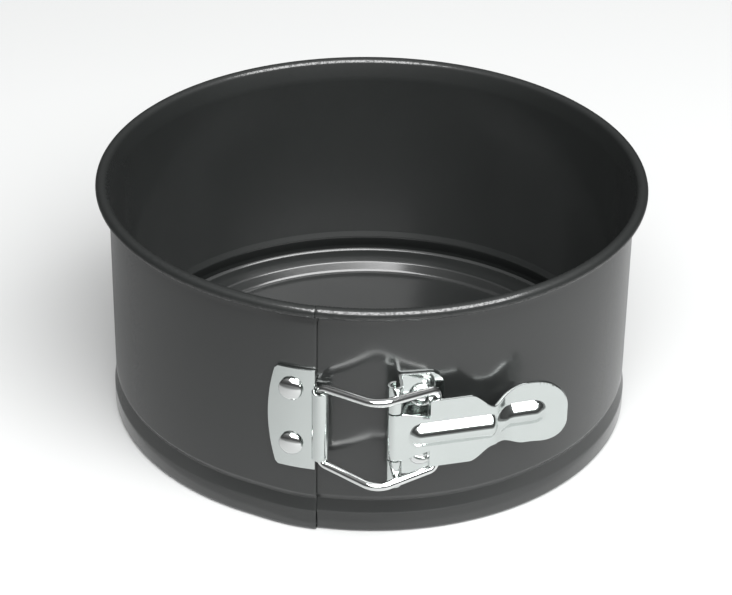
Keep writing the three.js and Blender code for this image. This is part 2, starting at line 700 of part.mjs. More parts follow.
const pan = new THREE.Group();
pan.position.z = BASE_RECESS - BASE_RIM_LOW;
pan.add(meshOf('band_left', bandLeft(), coated));
pan.add(meshOf('band_right', bandRight(), coated));
pan.add(meshOf('base_plate', basePlate(), coated));
pan.add(meshOf('catch_plate', catchPlate(), plated));
pan.add(meshOf('pivot_bracket', pivotBracket(), plated));
pan.add(meshOf('hinge_pin', hingePin(), bright));
pan.add(meshOf('lever', lever(), plated));
pan.add(meshOf('wire_bail', wireBail(), bright));
for (const [side, end] of [[0.5, 'upper'], [-0.5, 'lower']]) {
  const catchZ = CATCH_RIVET_HEIGHT + side * CATCH_RIVET_SPACING;
  const bracketZ = PIVOT_HEIGHT + side * BRACKET_RIVET_SPACING;
  pan.add(meshOf(`catch_rivet_${end}`, rivet(CATCH_AZ, catchZ, lapShift(CATCH_AZ)), bright));
  pan.add(meshOf(`bracket_rivet_${end}`, rivet(BRACKET_RIVET_AZ, bracketZ, 0), bright));
}

export default pan;
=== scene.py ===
"""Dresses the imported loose-bottom cake pan: springy ring, loose base and toggle latch, on a pale floor."""

import logging
import math
from collections.abc import Callable, Mapping, Sequence
from dataclasses import dataclass
from enum import Enum

import bmesh
import bpy
from mathutils import Matrix, Vector


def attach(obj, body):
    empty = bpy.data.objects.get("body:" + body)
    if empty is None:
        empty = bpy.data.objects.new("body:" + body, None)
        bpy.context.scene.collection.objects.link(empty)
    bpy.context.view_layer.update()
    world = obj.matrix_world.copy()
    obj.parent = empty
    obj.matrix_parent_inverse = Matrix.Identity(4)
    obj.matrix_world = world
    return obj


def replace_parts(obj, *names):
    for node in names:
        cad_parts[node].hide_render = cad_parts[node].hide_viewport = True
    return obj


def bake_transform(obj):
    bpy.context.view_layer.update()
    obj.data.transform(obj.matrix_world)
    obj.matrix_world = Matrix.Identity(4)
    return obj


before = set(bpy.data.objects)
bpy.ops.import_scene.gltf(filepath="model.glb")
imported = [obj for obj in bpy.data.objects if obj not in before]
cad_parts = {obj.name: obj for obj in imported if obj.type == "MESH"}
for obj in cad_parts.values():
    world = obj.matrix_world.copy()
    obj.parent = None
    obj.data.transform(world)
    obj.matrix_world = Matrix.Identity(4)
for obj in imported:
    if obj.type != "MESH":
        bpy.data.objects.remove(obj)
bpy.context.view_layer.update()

Colour = tuple[float, float, float]
Point = tuple[float, float, float]
Span = tuple[float, float]
Wanted = Callable[[Vector], bool]

LOG = logging.getLogger("cake_pan")

# Metres in a millimetre. Lengths are in mm and angles in degrees unless a line says otherwise.
MM = 0.001
# Height of the plane that the ring's foot stands on.
FOOT = -2.0
# Points of a mesh that are closer than this are welded.
WELD = 0.004
# Points that are closer than this in plan belong to the same upright chain.
NEAR = 0.05
# A row that is closer than this to a height counts as being there.
ROW_NEAR = 0.02
# A row that is closer than this to its new distance stays.
ROW_SAME = 1e-4
# Slack of a straight cut, in metres.
CUT_SLACK = 1e-7
# The shortest run that a slope is worked out from.
TINY = 1e-6
# A limit that has to miss nothing lies this far past the edge.
MARGIN = 1.0
# Largest turn between neighbouring points of a bend.
FINE_TURN = 10.0
# Edges that turn by more than this are rounded off.
SHARP = 55.0
# Middle of what a noise node gives.
NOISE_MEAN = 0.5


def polar(azimuth: float, radius: float, height: float = 0.0) -> Vector:
    """Give the point at an azimuth, which is counted from the latch side towards +X."""
    angle = math.radians(azimuth)
    return Vector((radius * math.sin(angle), -radius * math.cos(angle), height))


def circle(
    centre: Vector, radius: float, start: float, sweep: float, turn: float = FINE_TURN
) -> list[Vector]:
    """Give points along a level arc.

    Args:
        centre: middle of the arc in mm.
        radius: radius in mm.
        start: first angle in degrees, counted from +X.
        sweep: angle to the last point in degrees.
        turn: largest angle between neighbours in degrees.

    Returns:
        The points from the first to the last.
    """
    count = max(2, math.ceil(abs(sweep) / turn))
    angles = [math.radians(start + sweep * i / count) for i in range(count + 1)]
    return [centre + Vector((radius * math.cos(a), radius * math.sin(a), 0.0)) for a in angles]


def filleted(
    corners: Sequence[tuple[Vector, float]], turn: float = FINE_TURN, closed: bool = False
) -> list[Vector]:
    """Round the corners of a route.

    Args:
        corners: each corner's point and its bend radius, both in mm.
        turn: largest angle between neighbours in degrees.
        closed: whether the last corner leads back to the first.

    Returns:
        The points along the rounded route.
    """
    points: list[Vector] = []
    last = len(corners) - 1
    for i, (corner, bend) in enumerate(corners):
        if bend == 0 or (not closed and i in (0, last)):
            points.append(corner.copy())
            continue
        back = (corners[i - 1][0] - corner).normalized()
        ahead = (corners[(i + 1) % len(corners)][0] - corner).normalized()
        half = back.angle(ahead) / 2
        centre = corner + (back + ahead).normalized() * (bend / math.sin(half))
        first = corner + back * (bend / math.tan(half)) - centre
        final = corner + ahead * (bend / math.tan(half)) - centre
        sweep = first.angle(final)
        count = max(2, math.ceil(math.degrees(sweep) / turn))
        for k in range(count + 1):
            share = k / count
            mixed = first * math.sin((1 - share) * sweep) + final * math.sin(share * sweep)
            points.append(centre + mixed / math.sin(sweep))
    return points


def ease(value: float, low: float, high: float) -> float:
    """Give 0 below low, 1 above high and a smooth step between them."""
    share = min(1.0, max(0.0, (value - low) / (high - low)))
    return share * share * (3 - 2 * share)


def quarter(steps: int) -> list[float]:
    """Give the angles of a quarter turn in radians, from 0 on."""
    return [math.radians(90 * i / steps) for i in range(steps + 1)]


def everywhere(place: Vector) -> bool:
    """Say yes to every place."""
    return True


class Side(Enum):
    """The way that a sheet's drawn face looks."""

    AXIS = "towards the pan's axis"
    OUTWARD = "away from the pan's axis"
    UP = "upwards"

    def look(self, place: Vector) -> Vector:
        """Give the direction that a face looks in.

        Args:
            place: the face's middle.

        Returns:
            The direction, with a length of 1.
        """
        if self is Side.UP:
            return Vector((0.0, 0.0, 1.0))
        outward = Vector((place.x, place.y, 0.0)).normalized()
        return outward if self is Side.OUTWARD else -outward


class Slope(Enum):
    """The way that a stretched value climbs between its limits."""

    STRAIGHT = "LINEAR"
    SMOOTH = "SMOOTHSTEP"


class Bench:
    """Models one piece with Blender's own operators, from a chain of edges to a finished mesh."""

    def __init__(self, name: str, points: Sequence[Vector]) -> None:
        """Draw a chain of edges and leave it selected.

        Args:
            name: the piece's name.
            points: the chain's points in mm.
        """
        bpy.ops.object.select_all(action="DESELECT")
        bpy.ops.mesh.primitive_plane_add(size=MM, location=(0, 0, 0))
        self.piece = bpy.context.active_object
        self.piece.name = name
        self.piece.data.name = name
        bpy.ops.object.mode_set(mode="EDIT")
        bpy.ops.mesh.select_mode(type="VERT")
        bpy.ops.mesh.select_all(action="SELECT")
        bpy.ops.mesh.merge(type="CENTER")
        bpy.ops.transform.translate(value=points[0] * MM)
        for here, there in zip(points, points[1:]):
            self.push(there - here)
        bpy.ops.mesh.select_all(action="SELECT")

    def push(self, move: Vector) -> None:
        """Extrude what is selected by a move in mm."""
        bpy.ops.mesh.extrude_region_move(TRANSFORM_OT_translate={"value": move * MM})

    def follow(self, route: Sequence[Vector]) -> None:
        """Extrude what is selected along a route in mm."""
        for here, there in zip(route, route[1:]):
            self.push(there - here)

    def carry(self, angle: float) -> None:
        """Extrude what is selected round the pan's axis, by degrees towards larger azimuths."""
        self.push(Vector((0.0, 0.0, 0.0)))
        bpy.ops.transform.rotate(value=-math.radians(angle), orient_axis="Z", center_override=(0, 0, 0))

    def spin(
        self, sweep: float, steps: int, centre: Vector = Vector(), axis: Vector = Vector((0, 0, 1))
    ) -> None:
        """Turn what is selected into a round surface, towards larger azimuths about an axis along +Z."""
        bpy.ops.mesh.spin(steps=steps, angle=-math.radians(sweep), center=centre * MM, axis=axis)

    def select(self, wanted: Wanted) -> None:
        """Select vertices by their place, with the edges and faces between them.

        Args:
            wanted: says by its place in mm whether a vertex is selected.
        """
        mesh = bmesh.from_edit_mesh(self.piece.data)
        for vert in mesh.verts:
            vert.select = wanted(vert.co / MM)
        mesh.select_flush_mode()
        bmesh.update_edit_mesh(self.piece.data)

    def respace(self, rows: Sequence[float], middle: float) -> None:
        """Move the rows of the selected upright chain in pairs to new distances from its middle.

        Args:
            rows: the rows' signed distances from the middle in mm, from the lowest to the highest.
            middle: height of the chain's middle in mm.
        """
        mesh = bmesh.from_edit_mesh(self.piece.data)
        chain = sorted((vert for vert in mesh.verts if vert.select), key=lambda vert: vert.co.z)
        for low, high, row in zip(chain, reversed(chain), reversed(rows)):
            half = (high.co.z - low.co.z) / 2
            if half <= 0 or abs(half / MM - row) < ROW_SAME:
                continue
            for vert in chain:
                vert.select = vert in (low, high)
            mesh.select_flush_mode()
            centre = (0, 0, middle * MM)
            bpy.ops.transform.resize(value=(1, 1, row * MM / half), center_override=centre)
        for vert in chain:
            vert.select = True
        mesh.select_flush_mode()
        bmesh.update_edit_mesh(self.piece.data)

    def trim(self, outline: Sequence[Vector], inside: Vector, through: Vector, wanted: Wanted) -> None:
        """Cut a rounded edge into a sheet, one straight cut after another.

        Args:
            outline: points along the edge in mm.
            inside: a point of the sheet that stays.
            through: direction through the sheet.
            wanted: says by its place which part of the sheet the cuts reach.
        """
        for here, there in zip(outline, outline[1:]):
            normal = (there - here).cross(through).normalized()
            if normal.dot(inside - here) > 0:
                normal = -normal
            self.select(wanted)
            bpy.ops.mesh.bisect(plane_co=here * MM, plane_no=normal, clear_outer=True, threshold=CUT_SLACK)

    def close(self, side: Side | None) -> bpy.types.Object:
        """Weld the mesh, face it one way and leave edit mode.

        Args:
            side: the way that an open sheet looks, or None for a closed shape.

        Returns:
            The piece.
        """
        bpy.ops.mesh.select_all(action="SELECT")
        bpy.ops.mesh.remove_doubles(threshold=WELD * MM)
        bpy.ops.mesh.normals_make_consistent(inside=False)
        if side is not None:
            mesh = bmesh.from_edit_mesh(self.piece.data)
            faces = [(face.normal, face.calc_center_median(), face.calc_area()) for face in mesh.faces]
            if sum(normal.dot(side.look(place)) * area for normal, place, area in faces) < 0:
                bpy.ops.mesh.flip_normals()
        bpy.ops.object.mode_set(mode="OBJECT")
        return self.piece

    def modify(self, kind: str, **settings: object) -> None:
        """Add a modifier and apply it.

        Args:
            kind: the modifier's type.
            settings: its settings.
        """
        bpy.ops.object.modifier_add(type=kind)
        modifier = self.piece.modifiers[-1]
        for name, value in settings.items():
            setattr(modifier, name, value)
        bpy.ops.object.modifier_apply(modifier=modifier.name)

    def thicken(self, thickness: float) -> None:
        """Give the sheet its thickness in mm behind the drawn face."""
        even = {"offset": -1.0, "use_even_offset": True, "use_quality_normals": True}
        self.modify("SOLIDIFY", thickness=thickness * MM, **even)

    def flatten(self) -> None:
        """Let the flat faces of a smoothed piece shade flat up to its rounded edges."""
        self.modify("WEIGHTED_NORMAL", keep_sharp=True, weight=100)

    def soften(self, width: float, wanted: Wanted = everywhere) -> None:
        """Round the sharp edges off.

        Args:
            width: width of the rounding in mm.
            wanted: says by an edge's middle in mm whether it is rounded.
        """
        bpy.ops.object.mode_set(mode="EDIT")
        bpy.ops.mesh.select_mode(type="EDGE")
        bpy.ops.mesh.select_all(action="DESELECT")
        mesh = bmesh.from_edit_mesh(self.piece.data)
        for edge in mesh.edges:
            sharp = edge.calc_face_angle(0.0) > math.radians(SHARP)
            edge.select = sharp and wanted((edge.verts[0].co + edge.verts[1].co) / 2 / MM)
        mesh.select_flush_mode()
        bmesh.update_edit_mesh(self.piece.data)
        bpy.ops.mesh.bevel(offset=width * MM, segments=2, affect="EDGES", clamp_overlap=False)
        bpy.ops.object.mode_set(mode="OBJECT")


class Term:
    """A value in a shader, on which Python's operators add Math nodes."""

    def __init__(self, graph: "Graph", socket: bpy.types.NodeSocket | None) -> None:
        """Keep the graph and the socket, of which an output node has none."""
        self.graph = graph
        self.socket = socket

    def _math(self, operation: str, left: "Term | float", right: "Term | float") -> "Term":
        """Add one Math node."""
        return self.graph.node("ShaderNodeMath", {"operation": operation}, {0: left, 1: right})

    def __add__(self, other: "Term | float") -> "Term":
        """Add."""
        return self._math("ADD", self, other)

    def __radd__(self, other: float) -> "Term":
        """Add to a number."""
        return self._math("ADD", other, self)

    def __sub__(self, other: "Term | float") -> "Term":
        """Subtract."""
        return self._math("SUBTRACT", self, other)

    def __rsub__(self, other: float) -> "Term":
        """Subtract from a number."""
        return self._math("SUBTRACT", other, self)

    def __mul__(self, other: "Term | float") -> "Term":
        """Multiply."""
        return self._math("MULTIPLY", self, other)

    def __rmul__(self, other: float) -> "Term":
        """Multiply a number."""
        return self._math("MULTIPLY", other, self)

    def __pow__(self, other: float) -> "Term":
        """Raise to a power."""
        return self._math("POWER", self, other)

    def __rpow__(self, other: float) -> "Term":
        """Raise a number to a power."""
        return self._math("POWER", other, self)


class Graph:
    """The node tree of a material or of the world."""

    def __init__(self, owner: bpy.types.Material | bpy.types.World) -> None:
        """Empty the node tree of a new material or world.

        Args:
            owner: the material or world.
        """
        self.owner = owner
        owner.use_nodes = True
        self.tree = owner.node_tree
        self.tree.nodes.clear()

    def node(
        self,
        kind: str,
        settings: Mapping[str, object] | None = None,
        inputs: Mapping[str | int, object] | None = None,
        output: str | int = 0,
    ) -> Term:
        """Add a node.

        Args:
            kind: the node's type.
            settings: its own settings, and "stops" for the stops of a ramp.
            inputs: values or links of its sockets.
            output: the socket that is given back.

        Returns:
            The node's output, without a socket for an output node.
        """
        made = self.tree.nodes.new(kind)
        for name, value in (settings or {}).items():
            if name == "stops":
                ramp = made.color_ramp.elements
                while len(ramp) < len(value):
                    ramp.new(1.0)
                for stop, (place, colour) in zip(ramp, value):
                    stop.position = place
                    stop.color = colour
            else:
                setattr(made, name, value)
        for name, value in (inputs or {}).items():
            if isinstance(value, Term):
                self.tree.links.new(value.socket, made.inputs[name])
            else:
                made.inputs[name].default_value = value
        return Term(self, made.outputs[output] if made.outputs else None)

    def place(self) -> Term:
        """Give the place on the piece, in metres."""
        return self.node("ShaderNodeTexCoord", output="Object")

    def noise(self, place: Term, scale: float, detail: float, stretch: Sequence[float] = (1, 1, 1)) -> Term:
        """Give smooth noise from 0 to 1, with its waves in a metre, finer layers and factors on the axes."""
        moved = self.node("ShaderNodeMapping", {}, {"Vector": place, "Scale": tuple(stretch)})
        return self.node("ShaderNodeTexNoise", {}, {"Vector": moved, "Scale": scale, "Detail": detail})

    def span(self, value: Term, limits: Span, slope: Slope = Slope.STRAIGHT) -> Term:
        """Stretch a value so that the first limit becomes 0 and the second 1."""
        ends = {"Value": value, "From Min": limits[0], "From Max": limits[1]}
        return self.node("ShaderNodeMapRange", {"interpolation_type": slope.value}, ends)

    def part(self, place: Term, axis: str) -> Term:
        """Give a place's distance along one axis."""
        return self.node("ShaderNodeSeparateXYZ", {}, {"Vector": place}, output=axis)

    def bump(self, height: Term, strength: float, depth: float) -> Term:
        """Give the normal of a surface that a height bumps, with its depth in metres."""
        return self.node("ShaderNodeBump", {}, {"Strength": strength, "Distance": depth, "Height": height})

    def mixed(self, share: Term, first: Sequence[float], second: Sequence[float]) -> Term:
        """Mix two colours by the share of the second one."""
        colours = {"Factor": share, 6: (*first, 1.0), 7: (*second, 1.0)}
        return self.node("ShaderNodeMix", {"data_type": "RGBA"}, colours, output=2)

    def surface(self, **sockets: object) -> bpy.types.Material:
        """Finish a material with one principled surface.

        Args:
            sockets: values or links of its sockets, which are named with underscores.

        Returns:
            The material.
        """
        named = {
            name.replace("_", " ").title().replace("Ior", "IOR"): value for name, value in sockets.items()
        }
        shader = self.node("ShaderNodeBsdfPrincipled", {}, named)
        self.node("ShaderNodeOutputMaterial", {}, {"Surface": shader})
        return self.owner


@dataclass(frozen=True)
class CoatedSteel:
    """Charcoal non-stick coating over steel, with fine flakes and a slight orange peel.

    Scales are waves in a metre, and heights and depths are in metres.
    """

    slot: str = "coated_steel"
    dark: Colour = (0.0068, 0.0076, 0.0074)
    light: Colour = (0.0116, 0.013, 0.0126)
    roughness: float = 0.55
    unevenness: float = 0.08
    sheen_level: float = 0.25
    gloss: float = 0.17
    gloss_index: float = 1.58
    rim: Span = (0.0655, 0.0668)
    cloud_scale: float = 34.0
    cloud_tint: float = 0.35
    peel_scale: float = 1400.0
    flake_scale: float = 4200.0
    flake_span: Span = (0.42, 0.72)
    flake_mean: float = 0.4
    flake_tint: float = 0.55
    flake_height: float = 0.6
    flake_gloss: float = 0.06
    pit_scale: float = 1900.0
    pit_span: Span = (0.46, 0.6)
    pit_depth: float = 0.75
    bump_strength: float = 0.6
    bump_depth: float = 0.00001

    def material(self) -> bpy.types.Material:
        """Make the material.

        Returns:
            The material.
        """
        graph = Graph(bpy.data.materials.new(f"{self.slot}_finish"))
        place = graph.place()
        cloud = graph.noise(place, self.cloud_scale, 3.0)
        peel = graph.noise(place, self.peel_scale, 2.0)
        flake = graph.span(graph.noise(place, self.flake_scale, 1.0), self.flake_span)
        pits = graph.span(graph.noise(place, self.pit_scale, 2.0), self.pit_span)
        rim = graph.span(graph.part(place, "Z"), self.rim)
        uneven = (cloud - NOISE_MEAN) * self.unevenness + (flake - self.flake_mean) * self.unevenness
        return graph.surface(
            base_color=graph.mixed(flake * self.flake_tint + cloud * self.cloud_tint, self.dark, self.light),
            roughness=self.roughness + uneven,
            specular_ior_level=self.sheen_level,
            normal=graph.bump(peel + flake * self.flake_height, self.bump_strength, self.bump_depth),
            coat_weight=1.0 - rim * pits * self.pit_depth - (1.0 - rim) * (1.0 - flake) * self.flake_gloss,
            coat_roughness=self.gloss,
            coat_ior=self.gloss_index,
        )


@dataclass(frozen=True)
class PlatedSteel:
    """Satin bright plating on stamped sheet, with faint rolling lines and handling marks.

    Scales are waves in a metre, and the bump's depth is in metres.
    """

    slot: str = "plated_steel"
    dull: Colour = (0.66, 0.70, 0.685)
    bright: Colour = (0.72, 0.76, 0.745)
    roughness: float = 0.12
    cloud_scale: float = 120.0
    cloud_dulling: float = 0.05
    line_scale: float = 900.0
    line_stretch: Point = (0.12, 0.12, 2.4)
    mark_scale: float = 520.0
    mark_stretch: Point = (1.0, 1.0, 0.25)
    mark_span: Span = (0.62, 0.74)
    mark_height: float = 0.5
    mark_dulling: float = 0.06
    bump_strength: float = 0.5
    bump_depth: float = 0.000001

    def material(self) -> bpy.types.Material:
        """Make the material.

        Returns:
            The material.
        """
        graph = Graph(bpy.data.materials.new(f"{self.slot}_finish"))
        place = graph.place()
        cloud = graph.noise(place, self.cloud_scale, 4.0)
        lines = graph.noise(place, self.line_scale, 2.0, self.line_stretch)
        marks = graph.span(graph.noise(place, self.mark_scale, 3.0, self.mark_stretch), self.mark_span)
        dulled = (cloud - NOISE_MEAN) * self.cloud_dulling
        return graph.surface(
            base_color=graph.mixed(cloud, self.dull, self.bright),
            metallic=1.0,
            roughness=self.roughness + dulled + marks * self.mark_dulling,
            normal=graph.bump(lines - marks * self.mark_height, self.bump_strength, self.bump_depth),
        )


@dataclass(frozen=True)
class BrightSteel:
    """Bright plating on round wire and rivets.

    Scales are waves in a metre, and the bump's depth is in metres.
    """

    slot: str
    dull: Colour = (0.74, 0.76, 0.75)
    bright: Colour = (0.88, 0.89, 0.885)
    roughness: float = 0.09
    cloud_scale: float = 260.0
    cloud_dulling: float = 0.05
    grain_scale: float = 2600.0
    bump_strength: float = 0.5
    bump_depth: float = 0.000001

    def material(self) -> bpy.types.Material:
        """Make the material.

        Returns:
            The material.
        """
        graph = Graph(bpy.data.materials.new(f"{self.slot}_finish"))
        place = graph.place()
        cloud = graph.noise(place, self.cloud_scale, 3.0)
        grain = graph.noise(place, self.grain_scale, 2.0)
        return graph.surface(
            base_color=graph.mixed(cloud, self.dull, self.bright),
            metallic=1.0,
            roughness=self.roughness + (cloud - NOISE_MEAN) * self.cloud_dulling,
            normal=graph.bump(grain, self.bump_strength, self.bump_depth),
        )


Finish = CoatedSteel | PlatedSteel | BrightSteel


def report(piece: bpy.types.Object) -> None:
    """Note a finished piece in the log."""
    LOG.info("%s: %d faces", piece.name, len(piece.data.polygons))


def dress(piece: bpy.types.Object, finish: Finish, smooth: float = 32.0) -> None:
    """Smooth a finished piece and give it its finish.

    Args:
        piece: the finished piece.
        finish: its finish.
        smooth: largest angle between faces that shade as one.
    """
    bpy.ops.object.shade_smooth_by_angle(angle=math.radians(smooth))
    made = bpy.data.materials.get(f"{finish.slot}_finish") or finish.material()
    piece.data.materials.clear()
    piece.data.materials.append(made)
    report(piece)


@dataclass
class Ring:
    """The springy band with its lipped channel, ridge, rolled rim and lapped seam, in mm and degrees."""

    height: float = 72.5
    wall_inner: float = 75.0
    sheet: float = 0.6
    bead: float = 1.7
    overhang: float = 3.75
    flare: float = 6.0
    flare_lean: float = 12.0
    bead_sweep: float = 318.0
    ridge_inner: float = 74.2
    ridge_height: float = 10.0
    ridge_top: float = 11.9
    channel_inner: float = 75.55
    channel_top: float = 6.2
    lip_outer: float = 73.55
    lip_top: float = 5.0
    seam: float = -10.65
    seam_gap: float = 0.04
    lap: float = 2.75
    lap_offset: float = 0.9
    lap_runout: float = 13.0
    lap_low: float = 5.0
    lap_high: float = 67.0
    lap_fade: float = 0.6
    lap_shares: tuple[float, ...] = (1.0, 0.7, 0.45, 0.25)
    lap_steps: int = 3
    back_half: float = 25.0
    blend_half: float = 30.5
    step: float = 0.75
    edge: float = 0.08
    lip_bend: float = 0.5
    foot_bend: float = 0.7
    channel_bend: float = 2.2
    ridge_bend: float = 0.9
    ridge_top_bend: float = 1.2
    flare_bend: float = 9.0
    section_turn: float = 6.0

    @property
    def wall_outer(self) -> float:
        """Radius of the wall's outer face."""
        return self.wall_inner + self.sheet

    def shift(self, azimuth: float) -> float:
        """Give how far the outer layer of the seam stands off the round at an azimuth."""
        lap_end = self.seam - self.lap
        return self.lap_offset * (1 - ease(lap_end - azimuth, 0.0, self.lap_runout))

    def section(self, azimuth: float) -> list[Vector]:
        """Give the band's inner face from the channel's lip to the end of the rim's roll.

        Args:
            azimuth: angle round the pan.

        Returns:
            The points along the section.
        """
        bead = Vector((self.wall_outer + self.overhang - self.bead, self.height - self.bead))
        start = 180.0 - self.flare_lean
        flare_start = Vector((self.wall_inner, self.height - self.flare))
        roll = circle(bead.to_3d(), self.bead, start, -self.bead_sweep)
        wall = filleted(
            [
                (Vector((self.lip_outer, self.lip_top)), 0.0),
                (Vector((self.lip_outer, self.sheet)), self.lip_bend),
                (Vector((self.channel_inner, self.sheet)), self.foot_bend),
                (Vector((self.channel_inner, self.channel_top)), self.channel_bend),
                (Vector((self.ridge_inner, self.ridge_height)), self.ridge_bend),
                (Vector((self.wall_inner, self.ridge_top)), self.ridge_top_bend),
                (flare_start, self.flare_bend),
                (roll[0].to_2d(), 0.0),
            ],
            turn=self.section_turn,
        )
        return [polar(azimuth, point.x, FOOT + point.y) for point in [*wall, *roll[1:]]]

    def lies(self, place: Vector, azimuth: float) -> bool:
        """Say whether a point is in the band's section at an azimuth."""
        reach = self.wall_inner * math.radians(self.step) / 4
        return (place - polar(azimuth, place.xy.length, place.z)).length < reach

    def stand_off(self, bench: Bench, here: float, there: float) -> None:
        """Move the section carried to an azimuth out over the inner layer, its rim less than its wall.

        Args:
            bench: the band's outer layer.
            here: azimuth of the section before.
            there: azimuth of the section that moves.
        """
        fading = range(len(self.lap_shares) - 1)
        tops = [self.lap_high + zone * self.lap_fade for zone in fading]
        low = FOOT - MARGIN
        for share, top in zip(self.lap_shares, [*tops, self.height + MARGIN]):
            high = FOOT + top
            before = self.wall_inner + share * self.shift(here)
            growth = (self.wall_inner + share * self.shift(there)) / before
            bench.select(lambda p: low < p.z <= high and self.lies(p, there))
            bpy.ops.transform.resize(value=(growth, growth, 1), center_override=(0, 0, 0))
            low = high
        bench.select(lambda p: self.lies(p, there))

    def arc(self, name: str, start: float, end: float) -> Bench:
        """Spin the band's section round a part of the ring.

        Args:
            name: the piece's name.
            start: azimuth of the first section.
            end: azimuth of the last section.

        Returns:
            The bench with the arc's last section selected.
        """
        bench = Bench(name, self.section(start))
        bench.spin(end - start, math.ceil(abs(end - start) / self.step))
        return bench

    def finish(self, bench: Bench, coat: CoatedSteel) -> bpy.types.Object:
        """Thicken an arc of the band, soften its edges but not its joints at the back, and coat it.

        Args:
            bench: the arc.
            coat: its finish.

        Returns:
            The piece.
        """
        piece = bench.close(Side.AXIS)
        bench.thicken(self.sheet)
        bench.soften(self.edge, lambda p: p.y < 0)
        dress(piece, coat)
        return piece

    def build(self, coat: CoatedSteel) -> None:
        """Build the band's right, left and back parts; the right and left parts move with their bodies.

        Args:
            coat: the finish of the band.
        """
        back = self.seam + 180.0
        right_seam = self.seam + self.seam_gap / 2
        right = self.arc("band_right_skin", back - self.back_half, right_seam)
        low = FOOT + self.lap_low
        high = FOOT + self.lap_high
        clear = self.lip_outer + self.sheet / 2
        right.select(lambda p: low < p.z < high and p.xy.length > clear and self.lies(p, right_seam))
        for _ in range(self.lap_steps):
            right.carry(-self.lap / self.lap_steps)
        piece = self.finish(right, coat)
        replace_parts(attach(piece, "ring_right"), "band_right")

        runout = self.seam - self.lap - self.lap_runout
        left = self.arc("band_left_skin", back + self.back_half - 360.0, runout)
        end = self.seam - self.seam_gap / 2
        steps = math.ceil((end - runout) / self.step)
        here = runout
        for i in range(1, steps + 1):
            there = runout + (end - runout) * i / steps
            left.carry(there - here)
            self.stand_off(left, here, there)
            here = there
        piece = self.finish(left, coat)
        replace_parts(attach(piece, "ring_left"), "band_left")

        piece = self.finish(self.arc("band_back_skin", back - self.back_half, back + self.back_half), coat)
        middle = polar(back, self.wall_outer)
        along = polar(back + 90.0, self.blend_half)
        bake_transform(piece)


@dataclass
class Base:
    """The loose stepped base, in mm."""

    radius: float = 73.8
    sheet: float = 0.7
    rim_width: float = 7.6
    recess: float = 3.2
    step_run: float = 1.6
    edge_rise: float = 0.7
    edge: float = 0.12
    flat_rings: tuple[float, ...] = (0.0, 20.0, 42.0)
    recess_bend: float = 1.6
    rim_bend: float = 0.8
    edge_bend: float = 0.5
    section_turn: float = 8.0
    facets: int = 180

    def build(self, coat: CoatedSteel) -> None:
        """Build the base, which moves with its body.

        Args:
            coat: the finish of the base.
        """
        rim = self.sheet + self.recess
        step_outer = self.radius - self.rim_width - self.sheet
        corners = [
            *((Vector((radius, self.sheet)), 0.0) for radius in self.flat_rings),
            (Vector((step_outer - self.step_run, self.sheet)), self.recess_bend),
            (Vector((step_outer, rim)), self.rim_bend),
            (Vector((self.radius - 2 * self.sheet, rim)), self.edge_bend),
            (Vector((self.radius - self.sheet, rim + self.edge_rise)), 0.0),
        ]
        section = filleted(corners, turn=self.section_turn)
        bench = Bench("base_disc", [polar(0.0, p.x, p.y) for p in section])
        bench.spin(360.0, self.facets)
        piece = bench.close(Side.UP)
        bench.thicken(self.sheet)
        bench.soften(self.edge)
        dress(piece, coat)
        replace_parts(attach(piece, "base"), "base_plate")


